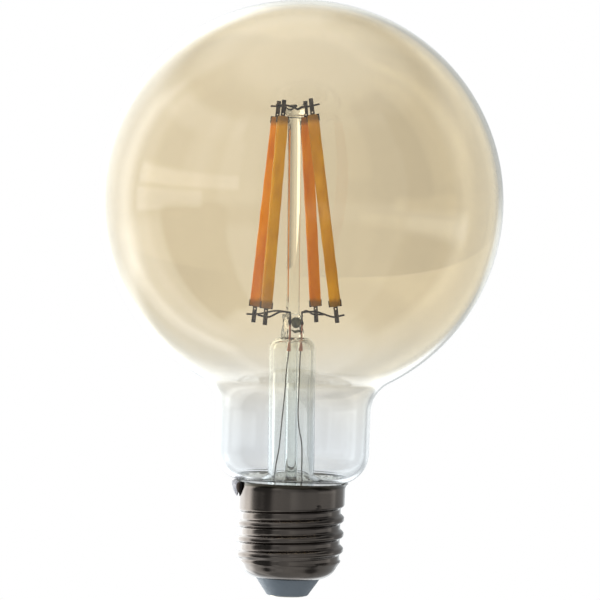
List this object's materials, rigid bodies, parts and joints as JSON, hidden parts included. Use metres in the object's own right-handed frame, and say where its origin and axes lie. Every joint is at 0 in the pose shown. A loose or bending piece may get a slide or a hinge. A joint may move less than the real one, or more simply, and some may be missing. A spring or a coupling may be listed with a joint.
{
  "type": "led filament globe bulb",
  "caption": "Globe lamp with an amber-tinted glass envelope, a glass mount that holds upright light strips, and a screw cap with a driver inside.",
  "frame": {"origin": "middle of the centre contact's outer face, at the tip of the cap", "axes": "+Z along the lamp's axis from the cap's tip to the globe; +X to the right and +Y away when seen from the front; the side solder is on the -X side"},
  "size_m": [0.095, 0.095, 0.1404],
  "materials": {
    "tinted_glass": "amber-tinted clear glass, fading to clear at the neck",
    "clear_glass": "clear polished glass",
    "cap_metal": "dark nickel plate, semi-gloss",
    "contact_metal": "bright plated disc and pin",
    "insulator": "slate blue-grey moulded insulator",
    "cement": "pale matt cement",
    "solder": "dull silvery solder",
    "circuit_board": "green lacquered board",
    "component_plastic": "black moulded package",
    "capacitor_can": "dark sleeve",
    "ferrite": "dark grey ferrite",
    "resistor_body": "green-grey lacquer",
    "insulated_wire": "pale insulated wire",
    "nickel_wire": "dark drawn wire",
    "copper_lead": "reddish copper-clad lead",
    "filament_coat": "orange-yellow silicone coat",
    "carrier_ceramic": "white strip",
    "tab_steel": "dark stamped strip"
  },
  "bodies": {
    "root": {"back_left_carrier": "carrier_ceramic", "back_left_filament": "filament_coat", "back_left_lower_tab": "tab_steel", "back_left_upper_tab": "tab_steel", "back_right_carrier": "carrier_ceramic", "back_right_filament": "filament_coat", "back_right_lower_tab": "tab_steel", "back_right_upper_tab": "tab_steel", "back_upper_wire": "nickel_wire", "base_insulator": "insulator", "bridge_rectifier": "component_plastic", "cement_ring": "cement", "centre_contact": "contact_metal", "contact_pin": "contact_metal", "driver_board": "circuit_board", "driver_chip": "component_plastic", "exhaust_tube": "clear_glass", "filter_inductor": "ferrite", "flare_tube": "clear_glass", "front_left_carrier": "carrier_ceramic", "front_left_filament": "filament_coat", "front_left_lower_tab": "tab_steel", "front_left_upper_tab": "tab_steel", "front_right_carrier": "carrier_ceramic", "front_right_filament": "filament_coat", "front_right_lower_tab": "tab_steel", "front_right_upper_tab": "tab_steel", "front_upper_wire": "nickel_wire", "fusible_resistor": "resistor_body", "glass_globe": "tinted_glass", "left_inner_lead": "copper_lead", "left_lower_wire": "nickel_wire", "left_outer_lead": "nickel_wire", "live_wire": "insulated_wire", "neutral_wire": "insulated_wire", "right_inner_lead": "copper_lead", "right_lower_wire": "nickel_wire", "right_outer_lead": "nickel_wire", "screw_shell": "cap_metal", "side_solder": "solder", "smoothing_capacitor": "capacitor_can", "support_rod": "clear_glass"}
  },
  "joints": []
}
